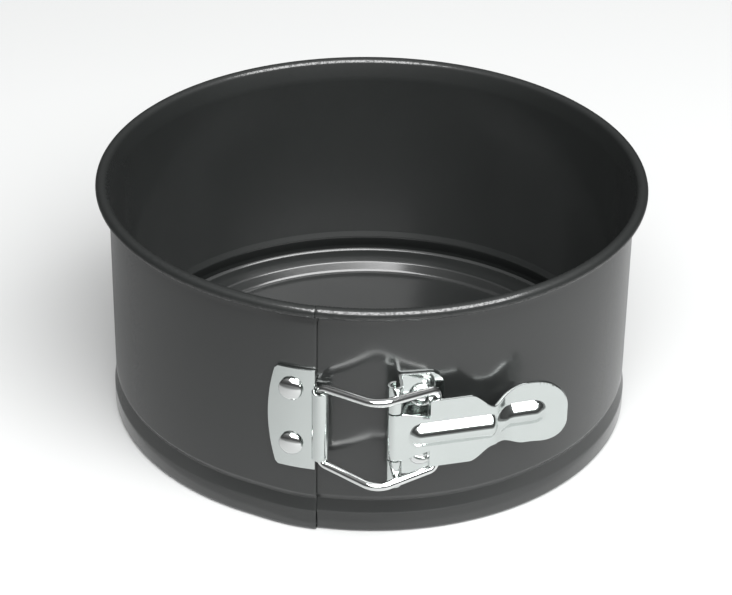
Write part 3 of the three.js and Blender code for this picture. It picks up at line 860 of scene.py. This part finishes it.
@dataclass
class Latch:
    """The toggle latch: catch plate, bracket, pin, rivets, wire bail and lever, in mm and degrees."""

    ring: Ring
    middle: float = FOOT + 36.5
    drop: float = 0.8
    sheet: float = 0.9
    seat_gap: float = 0.2
    edge: float = 0.13
    curl_sweep: float = 285.0

    catch_azimuth: float = -15.7
    catch_left: float = -20.8
    catch_corner: float = -18.6
    catch_right: float = -10.8
    catch_half: float = 15.8
    catch_chamfer: float = 0.9
    catch_knuckle: float = -9.5
    catch_knuckle_half: float = 10.6
    catch_spacing: float = 17.5
    catch_rivet_rise: float = 0.7
    catch_spare: float = 1.0
    catch_steps: int = 16

    wire: float = 1.2
    wire_clearance: float = 0.25
    bail_half_catch: float = 12.1
    bail_half_kink: float = 13.4
    bail_half_hook: float = 12.6
    bail_bend: float = 2.2
    bail_kink_bend: float = 6.0
    bail_kink: float = 1.5
    bail_kink_standoff: float = 12.6
    bail_turn: float = 6.0
    bail_rounding: int = 9
    bail_smooth: float = 60.0

    pivot_azimuth: float = 4.85
    pivot_standoff: float = 5.8
    pin: float = 1.0
    pin_clearance: float = 0.2
    pin_half: float = 13.4
    pin_tip: float = 0.25
    pin_facets: int = 32
    bracket_right: float = 15.1
    bracket_rivet: float = 10.5
    bracket_half: float = 15.9
    bracket_corner: float = 4.0
    bracket_spacing: float = 18.7
    bracket_bend: float = 0.5
    slot_half: float = 7.6
    bracket_steps: int = 8
    bracket_corner_steps: int = 9

    rivet_shank: float = 1.5
    rivet_head: float = 3.4
    rivet_dome: float = 1.7
    rivet_tail: float = 2.3
    rivet_tail_depth: float = 0.6
    rivet_brim: float = 0.22
    rivet_dome_steps: int = 12
    rivet_facets: int = 40

    lever_angle: float = 15.0
    barrel_half: float = 7.2
    barrel_run: float = 2.2
    tongue_end: float = 9.3
    tongue_half: float = 5.4
    shoulder_half: float = 10.5
    shoulder_end: float = 20.5
    neck: float = 27.6
    neck_half: float = 6.2
    tab_half: float = 9.5
    tab_widest: float = 37.4
    tab_corner: float = 7.5
    lever_length: float = 48.6
    hook_reach: float = 1.2
    hook_run: float = 2.4
    rib_half: float = 3.7
    rib_crest: float = 3.0
    rib_slope: float = 35.0
    rib_start: float = 3.3
    rib_end: float = 43.3
    rib_rows: tuple[float, ...] = (0.0, 0.16, 0.32, 0.465, 0.62, 0.78, 0.92, 1.0, 1.06)
    rib_fall_start: float = 1.2
    rib_fall_end: float = 0.5
    rib_tab_start: float = 3.6
    outer_row: float = 0.65
    neck_bend: float = 1.6
    dip_run: float = 4.6
    dip: float = 3.9
    dip_bend: float = 6.5
    tab_low: float = 40.5
    tab_dip: float = 4.1
    tab_bend: float = 16.0
    tip_dip: float = 1.9
    face_turn: float = 4.0
    arm_steps: int = 100
    tongue_steps: int = 28
    hook_first: float = 0.25
    tab_corner_steps: int = 14
    tab_reach: float = 3.0

    @property
    def pin_curl(self) -> float:
        """Inner radius of the curls round the hinge pin."""
        return self.pin + self.pin_clearance

    @property
    def pivot(self) -> Vector:
        """The hinge pin's middle."""
        return polar(self.pivot_azimuth, self.ring.wall_outer + self.pivot_standoff, self.middle - self.drop)

    @property
    def knuckle(self) -> Vector:
        """The middle of the wire in the catch plate's knuckle."""
        seat = self.ring.wall_outer + self.ring.lap_offset + self.seat_gap
        return polar(self.catch_knuckle, seat + self.sheet + self.wire_clearance + self.wire, self.middle)

    def lever_point(self, along: float, outward: float, up: float = 0.0) -> Vector:
        """Give a point on or near the lever.

        Args:
            along: distance from the hinge axis along the lever.
            outward: offset from the hinge axis away from the wall.
            up: height above the pin's middle.

        Returns:
            The point in the part's frame.
        """
        angle = math.radians(self.lever_angle)
        run = Vector((math.cos(angle), math.sin(angle), 0.0)) * along
        out = Vector((math.sin(angle), -math.cos(angle), 0.0)) * outward
        return self.pivot + run + out + Vector((0.0, 0.0, up))

    def lever_place(self, place: Vector) -> Vector:
        """Give where a point lies on the lever, as the reverse of lever_point.

        Args:
            place: the point in the part's frame.

        Returns:
            Its distance along the lever, its offset outward and its height.
        """
        angle = math.radians(self.lever_angle)
        gap = place - self.pivot
        along = gap.x * math.cos(angle) + gap.y * math.sin(angle)
        return Vector((along, gap.x * math.sin(angle) - gap.y * math.cos(angle), gap.z))

    def upright(self, foot: Vector, rows: Sequence[float]) -> list[Vector]:
        """Give an upright chain of points above and below a point."""
        return [foot + Vector((0.0, 0.0, row)) for row in rows]

    def finish_plate(self, bench: Bench, plating: PlatedSteel) -> None:
        """Thicken a plate, soften its edges and plate it.

        Args:
            bench: the plate as a closed sheet.
            plating: its finish.
        """
        bench.thicken(self.sheet)
        bench.soften(self.edge)
        dress(bench.piece, plating)
        bench.flatten()

    def build_catch(self, plating: PlatedSteel) -> None:
        """Build the catch plate with its rolled knuckle.

        Args:
            plating: the finish of the plate.
        """

        def face(azimuth: float) -> Vector:
            """Give a point of the plate's front face."""
            radius = self.ring.wall_outer + self.ring.shift(azimuth) + self.seat_gap + self.sheet
            return polar(azimuth, radius, self.middle)

        count = self.catch_steps
        span = self.catch_right - self.catch_left + self.catch_spare
        plate = [face(self.catch_left - self.catch_spare + span * i / count) for i in range(count + 1)]
        half = self.catch_knuckle_half
        rows = (-self.catch_half, -half, 0.0, half, self.catch_half)
        bench = Bench("catch_strap", self.upright(plate[0], rows))
        bench.follow(plate)
        bench.select(lambda p: (p - plate[-1]).xy.length < NEAR and abs(p.z - self.middle) < half + NEAR)
        radius = self.wire + self.wire_clearance
        curl = circle(self.knuckle, radius, self.catch_knuckle + 90.0, -self.curl_sweep)
        bench.follow([plate[-1], *curl])

        across = polar(self.catch_azimuth + 90.0, 1.0)
        seat = self.knuckle.xy.length - radius

        def front(side: float, up: float) -> Vector:
            """Give a point of the plate's outline from its distances across and up."""
            return polar(self.catch_azimuth, seat) + across * side + Vector((0.0, 0.0, self.middle + up))

        left = seat * math.sin(math.radians(self.catch_left - self.catch_azimuth))
        corner = seat * math.sin(math.radians(self.catch_corner - self.catch_azimuth))
        start = corner - self.catch_chamfer
        top = self.catch_half - self.catch_chamfer
        bulge = 2 * left - start
        outline = [front(corner, self.catch_half)]
        for i in range(count + 1):
            share = i / count
            side = start * ((1 - share) ** 2 + share**2) + 2 * share * (1 - share) * bulge
            outline.append(front(side, top * (1 - 2 * share)))
        outline.append(front(corner, -self.catch_half))
        through = polar(self.catch_azimuth, 1.0)
        bench.trim(outline, front(0.0, 0.0), through, everywhere)
        piece = bench.close(Side.OUTWARD)
        self.finish_plate(bench, plating)
        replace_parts(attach(piece, "ring_left"), "catch_plate")

    def build_bracket(self, plating: PlatedSteel) -> None:
        """Build the pivot bracket with its two rolled knuckles.

        Args:
            plating: the finish of the bracket.
        """
        seat = self.ring.wall_outer + self.seat_gap
        outer_bend = self.sheet + self.bracket_bend
        turn = self.pivot_azimuth
        bend_radius = seat + outer_bend
        bend_azimuth = math.degrees(math.asin((self.pin_curl + outer_bend) / bend_radius))
        span = self.bracket_right - turn - bend_azimuth
        count = self.bracket_steps
        plate = [polar(self.bracket_right - span * i / count, seat, self.pivot.z) for i in range(count + 1)]
        bend_middle = polar(turn + bend_azimuth, bend_radius, self.pivot.z)
        bend = circle(bend_middle, outer_bend, 90 + turn + bend_azimuth, 90 - bend_azimuth)
        curl = circle(self.pivot, self.pin_curl, turn, -self.curl_sweep)
        half = self.slot_half
        rows = (-self.bracket_half, -half, 0.0, half, self.bracket_half)
        bench = Bench("bracket_plate", self.upright(plate[0], rows))
        bench.follow(plate)
        bench.select(lambda p: (p - plate[-1]).xy.length < NEAR and abs(p.z - self.pivot.z) > half - NEAR)
        bench.follow([plate[-1], *bend[1:], *curl])

        across = polar(turn + 90.0, 1.0)
        right = seat * math.sin(math.radians(self.bracket_right - turn))
        through = polar(turn, 1.0)
        centre = polar(turn, seat) + across * (right - self.bracket_corner)
        rise = self.bracket_half - self.bracket_corner
        for sign in (1, -1):
            middle = centre + Vector((0.0, 0.0, self.pivot.z + sign * rise))
            outline = [
                middle + (across * math.sin(a) + Vector((0.0, 0.0, sign * math.cos(a)))) * self.bracket_corner
                for a in quarter(self.bracket_corner_steps)
            ]
            bench.trim(outline, polar(turn, seat, self.pivot.z), through, lambda p: p.x > centre.x - MARGIN)
        piece = bench.close(Side.AXIS)
        self.finish_plate(bench, plating)
        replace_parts(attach(piece, "ring_right"), "pivot_bracket")

    def build_pin(self, plating: BrightSteel) -> None:
        """Build the hinge pin with its chamfered ends.

        Args:
            plating: the finish of the pin.
        """
        tip = self.pin_tip
        profile = [
            (0.0, -self.pin_half),
            (self.pin - tip, -self.pin_half),
            (self.pin, tip - self.pin_half),
            (self.pin, self.pin_half - tip),
            (self.pin - tip, self.pin_half),
            (0.0, self.pin_half),
        ]
        bench = Bench("hinge_rod", [self.pivot + Vector((radius, 0.0, up)) for radius, up in profile])
        bench.spin(360.0, self.pin_facets, centre=self.pivot)
        piece = bench.close(None)
        dress(piece, plating)
        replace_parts(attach(piece, "ring_right"), "hinge_pin")

    def build_rivets(self, plating: BrightSteel) -> None:
        """Build one rivet and copy it to the other three places.

        Args:
            plating: the finish of the rivets.
        """
        shift = self.ring.shift(self.catch_azimuth)
        inner = self.ring.wall_inner + shift - self.seat_gap
        seat = self.ring.wall_outer + shift + self.sheet + 2 * self.seat_gap
        brim = self.rivet_brim
        dome = [
            (self.rivet_head * math.cos(a), seat + brim + (self.rivet_dome - brim) * math.sin(a))
            for a in quarter(self.rivet_dome_steps)[:-1]
        ]
        tail = self.rivet_tail_depth
        profile = [
            (0.0, inner - tail),
            (self.rivet_tail - tail / 2, inner - tail),
            (self.rivet_tail, inner - tail / 2),
            (self.rivet_tail, inner),
            (self.rivet_shank, inner),
            (self.rivet_shank, seat),
            (self.rivet_head - brim / 2, seat),
            *dome,
            (0.0, seat + self.rivet_dome),
        ]
        axis = polar(self.catch_azimuth, 1.0)
        level = Vector((0.0, 0.0, self.middle + self.catch_rivet_rise + self.catch_spacing / 2))
        points = [level + axis * reach + Vector((0.0, 0.0, radius)) for radius, reach in profile]
        bench = Bench("catch_rivet_upper_head", points)
        bench.spin(360.0, self.rivet_facets, centre=level, axis=axis)
        first = bench.close(None)
        dress(first, plating)
        spread = (self.bracket_spacing - self.catch_spacing) / 2
        swing = self.bracket_rivet - self.catch_azimuth
        sink = self.drop + self.catch_rivet_rise
        copies = [
            ("catch_rivet_lower", "ring_left", 0.0, -self.catch_spacing),
            ("bracket_rivet_upper", "ring_right", swing, spread - sink),
            ("bracket_rivet_lower", "ring_right", swing, -self.catch_spacing - spread - sink),
        ]
        for node, body, turn, rise in copies:
            bpy.ops.object.select_all(action="DESELECT")
            first.select_set(True)
            bpy.context.view_layer.objects.active = first
            bpy.ops.object.duplicate(linked=False)
            piece = bpy.context.active_object
            piece.name = f"{node}_head"
            piece.data.name = piece.name
            bpy.ops.object.mode_set(mode="EDIT")
            bpy.ops.mesh.select_all(action="SELECT")
            bpy.ops.transform.rotate(value=-math.radians(turn), orient_axis="Z", center_override=(0, 0, 0))
            inward = polar(self.catch_azimuth + turn, -shift) if turn else Vector()
            bpy.ops.transform.translate(value=(inward + Vector((0.0, 0.0, rise))) * MM)
            bpy.ops.object.mode_set(mode="OBJECT")
            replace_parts(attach(piece, body), node)
            report(piece)
        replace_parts(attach(first, "ring_left"), "catch_rivet_upper")

    def build_bail(self, plating: BrightSteel) -> None:
        """Build the bent wire loop.

        Args:
            plating: the finish of the wire.
        """
        kink_reach = self.ring.wall_outer + self.bail_kink_standoff
        kink = polar(self.bail_kink, kink_reach, self.middle - self.drop / 2)
        hook_depth = self.pin_curl - self.wire_clearance - self.wire
        hook = self.lever_point(self.tongue_end + self.hook_run, hook_depth)
        spots = [
            (self.knuckle, self.bail_half_catch, self.bail_bend),
            (kink, self.bail_half_kink, self.bail_kink_bend),
            (hook, self.bail_half_hook, self.bail_bend),
        ]
        rise = Vector((0.0, 0.0, 1.0))
        upper = [(spot + rise * half, bend) for spot, half, bend in spots]
        lower = [(spot - rise * half, bend) for spot, half, bend in reversed(spots)]
        route = filleted([*upper, *lower], turn=self.bail_turn, closed=True)
        bench = Bench("bail_wire", route)
        bench.select(lambda p: min((p - route[0]).length, (p - route[-1]).length) < WELD)
        bpy.ops.mesh.edge_face_add()
        bpy.ops.object.mode_set(mode="OBJECT")
        bpy.ops.object.convert(target="CURVE")
        line = bpy.context.active_object.data
        line.bevel_depth = self.wire * MM
        line.bevel_resolution = self.bail_rounding
        bpy.ops.object.convert(target="MESH")
        bpy.ops.object.mode_set(mode="EDIT")
        piece = bench.close(None)
        dress(piece, plating, self.bail_smooth)
        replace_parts(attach(piece, "bail"), "wire_bail")

    def half_width(self, along: float) -> float:
        """Give half the lever's width past the tongue.

        Args:
            along: distance along the lever.

        Returns:
            Half the width there.
        """
        waist = (self.neck_half - self.shoulder_half) * ease(along, self.shoulder_end, self.neck)
        tab = (self.tab_half - self.neck_half) * ease(along, self.neck, self.tab_widest)
        return self.shoulder_half + waist + tab

    def lever_rows(self, along: float) -> list[float]:
        """Give the lever's rows across its width.

        Args:
            along: distance along the lever.

        Returns:
            The rows' heights from the lowest to the highest.
        """
        ribbed = [self.rib_half * share for share in self.rib_rows]
        half = self.half_width(along)
        step = ribbed[-1]
        share = (self.tongue_half - step) / (self.shoulder_half - step)
        upper = [*ribbed, step + (half - step) * share, step + (half - step) * self.outer_row, half]
        return [-row for row in reversed(upper[1:])] + upper

    def rib_rise(self, off: float) -> float:
        """Give the rib's height, with a round crest between straight slopes.

        Args:
            off: distance from the rib's middle line.

        Returns:
            The height over the lever's face.
        """
        slope = math.radians(self.rib_slope)
        foot = (self.rib_half - off) * math.tan(slope)
        turn = self.rib_crest * math.sin(slope)
        if off >= turn:
            return max(0.0, foot)
        crest = math.sqrt(self.rib_crest**2 - off**2) - self.rib_crest * math.cos(slope)
        return (self.rib_half - turn) * math.tan(slope) + crest

    def rib_share(self, along: float, up: float) -> float:
        """Give the rib's height as a share of its full height.

        Args:
            along: distance along the lever.
            up: height above the lever's middle.

        Returns:
            The share, which is 0 beside the rib.
        """

        def run(start: float, first: float, last: float, end: float) -> float:
            """Give the height on one rib with round ends."""
            over = max((first - along) / (first - start), (along - last) / (end - last), 0.0) * self.rib_half
            return self.rib_rise(math.hypot(over, up)) / self.rib_rise(0.0)

        neck = self.neck
        arm_last = neck - self.rib_fall_start
        arm = run(self.rib_start, self.rib_start + self.rib_half, arm_last, neck + self.rib_fall_end)
        tab = run(neck, neck + self.rib_tab_start, self.rib_end - self.rib_half, self.rib_end)
        return max(arm, tab)

    def build_lever(self, plating: PlatedSteel) -> None:
        """Build the lever from its shoulders to its tab, then back to its barrel and its hook tabs.

        Args:
            plating: the finish of the lever.
        """
        face = self.pin_curl + self.sheet
        corners = [
            (Vector((self.tongue_end, 0.0)), 0.0),
            (Vector((self.neck, 0.0)), self.neck_bend),
            (Vector((self.neck + self.dip_run, -self.dip)), self.dip_bend),
            (Vector((self.tab_low, -self.tab_dip)), self.tab_bend),
            (Vector((self.lever_length, -self.tip_dip)), 0.0),
        ]
        line = filleted(corners, turn=self.face_turn)

        def drop(along: float) -> float:
            """Give the face's offset from the plane of the arm.

            Args:
                along: distance along the lever.

            Returns:
                The offset, which is negative towards the wall.
            """
            if along <= line[0].x:
                return line[0].y
            for here, there in zip(line, line[1:]):
                if here.x <= along <= there.x:
                    return here.y + (there.y - here.y) * (along - here.x) / max(there.x - here.x, TINY)
            return line[-1].y

        def station(along: float) -> Vector:
            """Give the plan point of the front face."""
            return self.lever_point(along, face + drop(along))

        reach = self.lever_length - self.tongue_end
        stops = [self.tongue_end + reach * i / self.arm_steps for i in range(self.arm_steps + 1)]
        bench = Bench("lever_arm", self.upright(station(stops[0]), self.lever_rows(stops[0])))
        for here, there in zip(stops, stops[1:]):
            bench.push(station(there) - station(here))
            bench.respace(self.lever_rows(there), self.pivot.z)

        root = station(self.tongue_end)
        barrel = self.lever_point(self.barrel_run, face)
        narrow = self.tongue_half + ROW_NEAR
        bench.select(lambda p: (p - root).xy.length < NEAR and abs(p.z - self.pivot.z) < narrow)
        rows = [row for row in self.lever_rows(self.tongue_end) if abs(row) < narrow]
        for i in range(self.tongue_steps):
            bench.push((barrel - root) / self.tongue_steps)
            widening = (self.barrel_half - self.tongue_half) * ((i + 1) / self.tongue_steps)
            wide = self.tongue_half + widening
            bench.respace([-wide, *rows[1:-1], wide], self.pivot.z)
        bench.follow([barrel, *circle(self.pivot, face, self.lever_angle - 90.0, -self.curl_sweep)])
        wing = self.tongue_half - ROW_NEAR
        bench.select(lambda p: (p - root).xy.length < NEAR and abs(p.z - self.pivot.z) > wing)
        back = self.lever_point(0.0, -self.sheet - self.hook_reach) - self.pivot
        bench.follow([Vector(), back * self.hook_first, back])

        through = self.lever_point(0.0, 1.0) - self.pivot
        centre = self.lever_length - self.tab_corner
        for sign in (1, -1):
            outline = [
                self.lever_point(
                    centre + self.tab_corner * math.sin(a),
                    face,
                    sign * (self.tab_half - self.tab_corner + self.tab_corner * math.cos(a)),
                )
                for a in quarter(self.tab_corner_steps)
            ]
            inside = self.lever_point(centre, face)
            bench.trim(outline, inside, through, lambda p: self.lever_place(p).x > centre - self.tab_reach)
        piece = bench.close(Side.OUTWARD)
        group = piece.vertex_groups.new(name="rib")
        for vert in piece.data.vertices:
            place = self.lever_place(vert.co / MM)
            share = self.rib_share(place.x, place.z)
            if share > 0:
                group.add([vert.index], share, "REPLACE")
        bench.modify("DISPLACE", strength=self.rib_rise(0.0) * MM, mid_level=0.0, vertex_group="rib")
        self.finish_plate(bench, plating)
        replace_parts(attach(piece, "lever"), "lever")


@dataclass
class Studio:
    """The pale floor, the soft light and the camera, in mm and degrees.

    The floor's size, the spans of the flag's shade and the soft box are in metres.
    """

    lens: float = 124.2
    sensor: float = 36.0
    clip_start: float = 0.01
    distance: float = 747.79
    target: Point = (-1.242, 0.0, 30.557 + FOOT)
    elevation: float = 30.394
    roll: float = 0.786
    matte: float = 0.9
    floor_size: float = 8.0
    floor_cuts: int = 3
    floor_colour: Colour = (0.4, 0.404, 0.403)
    floor_cloud: float = 6.0
    floor_paler: float = 1.02
    fill: float = 0.5
    room_stops: tuple[Span, ...] = ((0.0, 0.05), (0.25, 0.07), (0.5, 0.13), (0.8, 0.3), (1.0, 0.35))
    flag_inner: float = 80.0
    flag_outer: float = 3000.0
    flag_lift: float = 0.3
    flag_facets: int = 96
    flag_colour: Colour = (0.025, 0.026, 0.026)
    flag_cloud: float = 3.0
    flag_paler: float = 1.1
    flag_far: Span = (0.17, 0.26)
    flag_left: Span = (0.04, -0.14)
    flag_back: Span = (-0.08, 0.06)
    near_shade: float = 0.25
    left_shade: float = 0.45
    back_shade: float = 0.3
    box_place: Point = (0.316, -0.868, 1.212)
    box_aim: Point = (0.0, 0.0, 0.03)
    box_size: Span = (2.0, 1.3)
    box_watts: float = 90.0

    def build_floor(self) -> None:
        """Lay the pale floor under the ring's foot."""
        bpy.ops.object.select_all(action="DESELECT")
        bpy.ops.mesh.primitive_plane_add(size=self.floor_size, location=(0, 0, 0))
        floor = bpy.context.active_object
        floor.name = "floor"
        bpy.ops.object.mode_set(mode="EDIT")
        bpy.ops.mesh.select_all(action="SELECT")
        bpy.ops.transform.translate(value=(0, 0, FOOT * MM))
        bpy.ops.mesh.subdivide(number_cuts=self.floor_cuts)
        bpy.ops.object.mode_set(mode="OBJECT")
        graph = Graph(bpy.data.materials.new("studio_floor"))
        cloud = graph.noise(graph.place(), self.floor_cloud, 2.0)
        shade = graph.mixed(cloud, self.floor_colour, [c * self.floor_paler for c in self.floor_colour])
        floor.data.materials.append(graph.surface(base_color=shade, roughness=self.matte))
        report(floor)

    def build_flag(self) -> None:
        """Lay a dark ring round the pan that only reflections show, as the dark room beyond a white table."""
        level = FOOT + self.flag_lift
        bench = Bench("flag", [polar(0.0, radius, level) for radius in (self.flag_inner, self.flag_outer)])
        bench.spin(360.0, self.flag_facets)
        flag = bench.close(Side.UP)
        graph = Graph(bpy.data.materials.new("studio_flag"))
        place = graph.place()
        cloud = graph.noise(place, self.flag_cloud, 1.0)
        shade = graph.mixed(cloud, self.flag_colour, [c * self.flag_paler for c in self.flag_colour])
        across = graph.part(place, "X")
        along = graph.part(place, "Y")
        far = graph.span((across * across + along * along) ** 0.5, self.flag_far, Slope.SMOOTH)
        left = graph.span(across, self.flag_left, Slope.SMOOTH) * self.left_shade
        back = graph.span(along, self.flag_back, Slope.SMOOTH) * self.back_shade
        cover = 1.0 - (1.0 - far) * (1.0 - left) * (1.0 - back) * (1.0 - self.near_shade)
        flag.data.materials.append(graph.surface(base_color=shade, roughness=self.matte, alpha=cover))
        flag.visible_camera = False
        flag.visible_diffuse = False
        flag.visible_shadow = False
        report(flag)

    def build_world(self) -> None:
        """Light the studio evenly, and let reflections see a dark room with a pale ceiling."""
        world = bpy.data.worlds.new("studio")
        bpy.context.scene.world = world
        graph = Graph(world)
        height = graph.part(graph.node("ShaderNodeTexCoord", output="Generated"), "Z")
        stops = [(place, (level, level, level, 1.0)) for place, level in self.room_stops]
        ramp = graph.node("ShaderNodeValToRGB", {"stops": stops}, {"Fac": height})
        room = graph.node("ShaderNodeBackground", {}, {"Color": ramp})
        fill = graph.node("ShaderNodeBackground", {}, {"Color": (self.fill, self.fill, self.fill, 1.0)})
        glossy = graph.node("ShaderNodeLightPath", output="Is Glossy Ray")
        both = graph.node("ShaderNodeMixShader", {}, {"Fac": glossy, 1: fill, 2: room})
        graph.node("ShaderNodeOutputWorld", {}, {"Surface": both})

    def build_light(self) -> None:
        """Hang the soft box."""
        bpy.ops.object.light_add(type="AREA", location=self.box_place)
        light = bpy.context.active_object
        light.name = "softbox"
        light.data.shape = "RECTANGLE"
        light.data.size, light.data.size_y = self.box_size
        light.data.energy = self.box_watts
        facing = Vector(self.box_aim) - Vector(self.box_place)
        light.rotation_euler = facing.to_track_quat("-Z", "Y").to_euler()

    def build_camera(self) -> None:
        """Set the camera at the photograph's angle."""
        tilt = math.radians(self.elevation)
        back = Vector((0.0, -math.cos(tilt), math.sin(tilt)))
        right = Vector((1.0, 0.0, 0.0))
        look = Matrix((right, back.cross(right), back)).transposed().to_4x4()
        look.translation = (Vector(self.target) + back * self.distance) * MM
        bpy.ops.object.camera_add()
        camera = bpy.context.active_object
        camera.name = "camera"
        camera.data.lens = self.lens
        camera.data.sensor_width = self.sensor
        camera.data.clip_start = self.clip_start
        camera.matrix_world = look @ Matrix.Rotation(math.radians(self.roll), 4, "Z")
        bpy.context.scene.camera = camera

    def build(self) -> None:
        """Set up the floor, the light and the camera."""
        self.build_floor()
        self.build_flag()
        self.build_world()
        self.build_light()
        self.build_camera()
        bpy.context.scene.view_settings.view_transform = "Standard"


def main() -> None:
    """Build the pan's sub-assemblies and the studio."""
    logging.basicConfig(level=logging.INFO, format="%(name)s: %(message)s")
    coat = CoatedSteel()
    plating = PlatedSteel()
    ring = Ring()
    ring.build(coat)
    Base().build(coat)
    latch = Latch(ring)
    latch.build_catch(plating)
    latch.build_bracket(plating)
    latch.build_pin(BrightSteel("bright_wire"))
    latch.build_rivets(BrightSteel("rivet_steel", roughness=0.14))
    latch.build_bail(BrightSteel("bright_wire"))
    latch.build_lever(plating)
    Studio().build()


if __name__ == "__main__":
    main()
